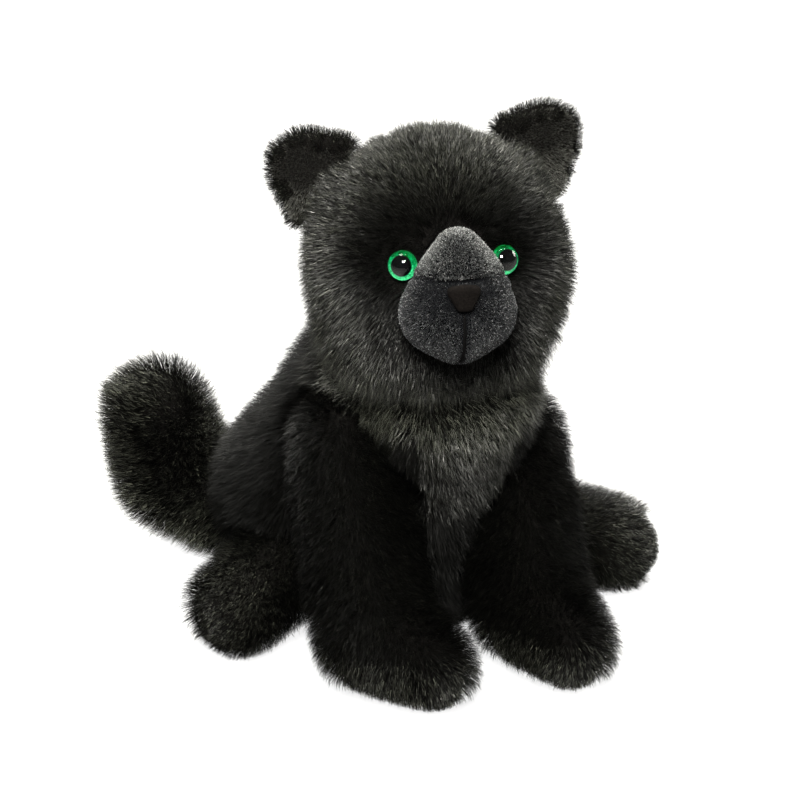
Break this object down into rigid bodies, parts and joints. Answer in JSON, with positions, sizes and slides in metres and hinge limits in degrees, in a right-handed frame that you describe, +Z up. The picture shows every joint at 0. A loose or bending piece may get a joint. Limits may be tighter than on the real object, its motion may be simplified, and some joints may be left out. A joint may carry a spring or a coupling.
{
  "type": "plush cat",
  "caption": "Seated plush cat with a turned head, sewn pile-fabric skins over soft stuffing, safety eyes, and legs, ears and tail that flex at their seams.",
  "frame": {"origin": "middle of the round seat panel, on the surface that the cat sits on", "axes": "+Z up; the body faces -Y and the cat's left side is +X; the head is turned 11 degrees towards -X"},
  "size_m": [0.2264, 0.226, 0.2408],
  "materials": {
    "black_pile": "long soft pile, dull with a grey sheen along the hairs",
    "paw_pile": "shorter pile, a little greyer",
    "ear_velour": "short even pile, matte",
    "face_velour": "short velour with fine glints",
    "nose_suede": "brushed suede cloth, matte",
    "seam_thread": "twisted thread",
    "eye_clear": "clear polished acrylic",
    "eye_glitter_green": "glitter paint under the clear dome",
    "eye_black": "polished black",
    "washer_plastic": "moulded, matte",
    "polyester_fill": "loose white fibre",
    "pouch_cloth": "plain woven cotton",
    "plastic_pellets": "small round beads"
  },
  "bodies": {
    "torso": {"torso_left_panel": "black_pile", "torso_right_panel": "black_pile", "chest_panel": "black_pile", "seat_panel": "black_pile", "torso_stuffing": "polyester_fill", "pellet_pouch": "pouch_cloth", "seat_pellets": "plastic_pellets"},
    "neck": {"neck_stuffing": "polyester_fill"},
    "head": {"head_left_panel": "black_pile", "head_right_panel": "black_pile", "head_gusset": "black_pile", "bridge_panel": "face_velour", "muzzle_left_panel": "face_velour", "muzzle_right_panel": "face_velour", "nose": "nose_suede", "mouth_stitch": "seam_thread", "head_stuffing": "polyester_fill", "eye_left_dome": "eye_clear", "eye_left_iris": "eye_glitter_green", "eye_left_stem": "eye_black", "eye_left_washer": "washer_plastic", "eye_right_dome": "eye_clear", "eye_right_iris": "eye_glitter_green", "eye_right_stem": "eye_black", "eye_right_washer": "washer_plastic"},
    "ear_left": {"ear_left_back": "black_pile", "ear_left_lining": "ear_velour"},
    "ear_right": {"ear_right_back": "black_pile", "ear_right_lining": "ear_velour"},
    "front_leg_left": {"front_leg_left_skin": "black_pile", "front_leg_left_sole": "paw_pile", "front_leg_left_stuffing": "polyester_fill"},
    "front_leg_right": {"front_leg_right_skin": "black_pile", "front_leg_right_sole": "paw_pile", "front_leg_right_stuffing": "polyester_fill"},
    "hind_leg_left": {"hind_leg_left_skin": "black_pile", "hind_leg_left_sole": "paw_pile", "hind_leg_left_stuffing": "polyester_fill"},
    "hind_leg_right": {"hind_leg_right_skin": "black_pile", "hind_leg_right_sole": "paw_pile", "hind_leg_right_stuffing": "polyester_fill"},
    "tail": {"tail_skin": "black_pile", "tail_stuffing": "polyester_fill"}
  },
  "joints": [
    {"name": "neck_turn", "type": "hinge", "parent": "torso", "child": "neck", "pos_m": [-0.004, -0.042, 0.141], "axis": [0, 0, 1], "range_deg": [-19, 41], "stiffness_Nm_per_rad": 0.6},
    {"name": "head_nod", "type": "hinge", "parent": "neck", "child": "head", "pos_m": [-0.004, -0.042, 0.141], "axis": [0.9816, -0.1908, 0], "range_deg": [-10, 10], "stiffness_Nm_per_rad": 1.2},
    {"name": "ear_left_fold", "type": "hinge", "parent": "head", "child": "ear_left", "pos_m": [0.0389, -0.03608, 0.21539], "axis": [0.6514, 0.0152, -0.7586], "range_deg": [-12, 12], "stiffness_Nm_per_rad": 0.05},
    {"name": "ear_right_fold", "type": "hinge", "parent": "head", "child": "ear_right", "pos_m": [-0.04587, -0.0196, 0.20935], "axis": [0.4886, -0.2367, 0.8398], "range_deg": [-12, 12], "stiffness_Nm_per_rad": 0.05},
    {"name": "front_leg_left_swing", "type": "hinge", "parent": "torso", "child": "front_leg_left", "pos_m": [0.036, -0.026, 0.086], "axis": [-1, 0, 0], "range_deg": [-8, 15], "stiffness_Nm_per_rad": 0.8},
    {"name": "front_leg_right_swing", "type": "hinge", "parent": "torso", "child": "front_leg_right", "pos_m": [-0.039, -0.026, 0.093], "axis": [-1, 0, 0], "range_deg": [-8, 15], "stiffness_Nm_per_rad": 0.8},
    {"name": "hind_leg_left_swing", "type": "hinge", "parent": "torso", "child": "hind_leg_left", "pos_m": [0.06, -0.004, 0.028], "axis": [0, 0, -1], "range_deg": [-10, 15], "stiffness_Nm_per_rad": 0.6},
    {"name": "hind_leg_right_swing", "type": "hinge", "parent": "torso", "child": "hind_leg_right", "pos_m": [-0.059, -0.003, 0.03], "axis": [0, 0, 1], "range_deg": [-10, 15], "stiffness_Nm_per_rad": 0.6},
    {"name": "tail_swing", "type": "hinge", "parent": "torso", "child": "tail", "pos_m": [-0.02, 0.058, 0.026], "axis": [0, 0, -1], "range_deg": [-4, 20], "stiffness_Nm_per_rad": 0.6}
  ]
}
